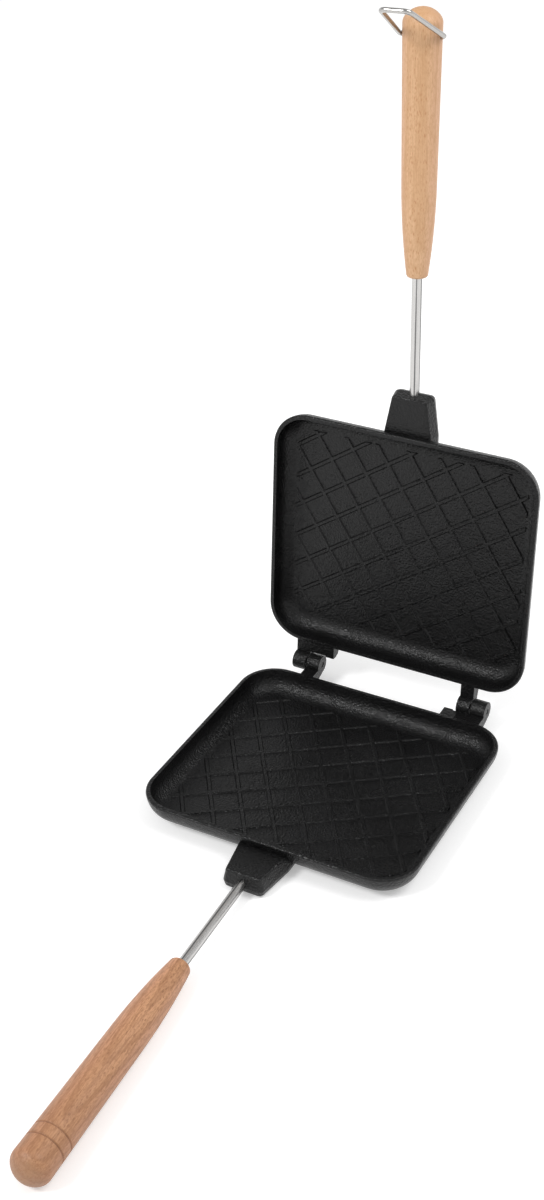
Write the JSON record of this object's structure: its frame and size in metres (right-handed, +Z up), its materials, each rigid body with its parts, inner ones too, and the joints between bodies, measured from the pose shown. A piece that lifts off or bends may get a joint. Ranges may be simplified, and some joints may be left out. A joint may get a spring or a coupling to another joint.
{
  "type": "pie iron",
  "caption": "Hinged sandwich iron: two coated cast pans with a raised lattice, steel rods, turned wooden grips and a wire bail.",
  "frame": {"origin": "under the middle of the whole open iron, on the surface it stands on", "axes": "+X along the hinge axis, -Y towards the lower grip, +Z up"},
  "size_m": [0.1496, 0.4156, 0.3758],
  "materials": {
    "coated_casting": "cast aluminium with a matt black non-stick coat",
    "hinge_steel": "dull steel pin",
    "rod_steel": "bright drawn steel rod",
    "lower_wood": "oiled beech, slightly browner",
    "upper_wood": "oiled beech",
    "wire_steel": "bright wire"
  },
  "bodies": {
    "lower_half": {"lower_pan": "coated_casting", "lower_hinge_pin": "hinge_steel", "lower_rod": "rod_steel", "lower_grip": "lower_wood"},
    "upper_half": {"upper_pan": "coated_casting", "upper_hinge_pin": "hinge_steel", "upper_rod": "rod_steel", "upper_grip": "upper_wood"},
    "bail": {"latch_bail": "wire_steel"}
  },
  "joints": [
    {"name": "hinge", "type": "hinge", "parent": "lower_half", "child": "upper_half", "pos_m": [0, 0.14819, 0.01318], "axis": [1, 0, 0], "range_deg": [0, 95.85]},
    {"name": "bail_pivot", "type": "hinge", "parent": "upper_half", "child": "bail", "pos_m": [-0.0054, 0.19759, 0.35491], "axis": [0.9995, 0.0038, 0.0321], "range_deg": [-38.54, 0]}
  ],
  "couplings": [
    {"joint": "bail_pivot", "follows": "hinge", "ratio": -0.4}
  ]
}
